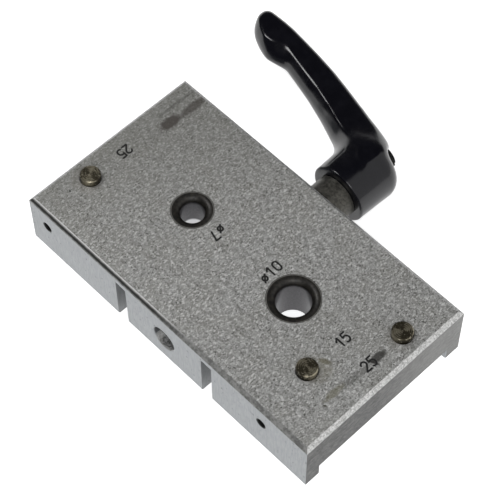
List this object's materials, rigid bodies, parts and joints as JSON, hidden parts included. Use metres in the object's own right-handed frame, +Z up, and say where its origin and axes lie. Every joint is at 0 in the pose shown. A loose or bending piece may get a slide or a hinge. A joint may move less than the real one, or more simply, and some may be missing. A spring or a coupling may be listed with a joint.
{
  "type": "drilling jig",
  "caption": "Rectangular bushed drilling jig with an underside channel, push-through stop pins and an angled clamping lever on its back.",
  "frame": {"origin": "middle of the channel's ceiling, the face that rests on the work", "axes": "+Z up out of the block's top, +X along the block towards the wider bush, +Y towards the clamping lever"},
  "size_m": [0.1182, 0.1006, 0.0224],
  "materials": {
    "milled_aluminium": "matte, tumbled and lightly stained",
    "hardened_steel": "blackened hardened steel with bright ground edges",
    "pin_steel": "turned, oily brown",
    "ball_steel": "polished",
    "spring_steel": "drawn wire",
    "black_screw": "blackened",
    "insert_steel": "blackened, dull",
    "black_handle": "satin black coating on a casting"
  },
  "bodies": {
    "block": {"jig_body": "milled_aluminium", "drill_bush_7": "hardened_steel", "drill_bush_10": "hardened_steel", "detent_25_left_ball": "ball_steel", "detent_25_left_spring": "spring_steel", "detent_25_left_grub_screw": "black_screw", "detent_15_ball": "ball_steel", "detent_15_spring": "spring_steel", "detent_15_grub_screw": "black_screw", "detent_25_right_ball": "ball_steel", "detent_25_right_spring": "spring_steel", "detent_25_right_grub_screw": "black_screw"},
    "thrust_washer": {"thrust_washer": "insert_steel"},
    "clamp_screw": {"clamp_stud": "insert_steel", "toothed_insert": "insert_steel", "lever_spring": "spring_steel", "retaining_screw": "black_screw"},
    "handle": {"clamp_handle": "black_handle"},
    "stop_pin_25_left": {"stop_pin_25_left": "pin_steel"},
    "stop_pin_15": {"stop_pin_15": "pin_steel"},
    "stop_pin_25_right": {"stop_pin_25_right": "pin_steel"}
  },
  "joints": [
    {"name": "clamp_turn", "type": "hinge", "parent": "thrust_washer", "child": "clamp_screw", "pos_m": [0, 0.038, 0.0045], "axis": [0, 1, 0], "range_deg": [0, 180]},
    {"name": "clamp_feed", "type": "slide", "parent": "block", "child": "thrust_washer", "axis": [0, 1, 0], "range_m": [0, 0.000625]},
    {"name": "handle_lift", "type": "slide", "parent": "clamp_screw", "child": "handle", "axis": [0, 1, 0], "range_m": [0, 0.0036], "stiffness_N_per_m": 400, "springref_m": -0.001, "deforming": ["lever_spring"]},
    {"name": "stop_25_left_push", "type": "slide", "parent": "block", "child": "stop_pin_25_left", "axis": [0, 0, -1], "range_m": [0, 0.002]},
    {"name": "stop_15_push", "type": "slide", "parent": "block", "child": "stop_pin_15", "axis": [0, 0, -1], "range_m": [0, 0.002]},
    {"name": "stop_25_right_push", "type": "slide", "parent": "block", "child": "stop_pin_25_right", "axis": [0, 0, -1], "range_m": [0, 0.002]}
  ],
  "couplings": [
    {"joint": "clamp_turn", "follows": "clamp_feed", "rad_per_m": 5026.5}
  ]
}
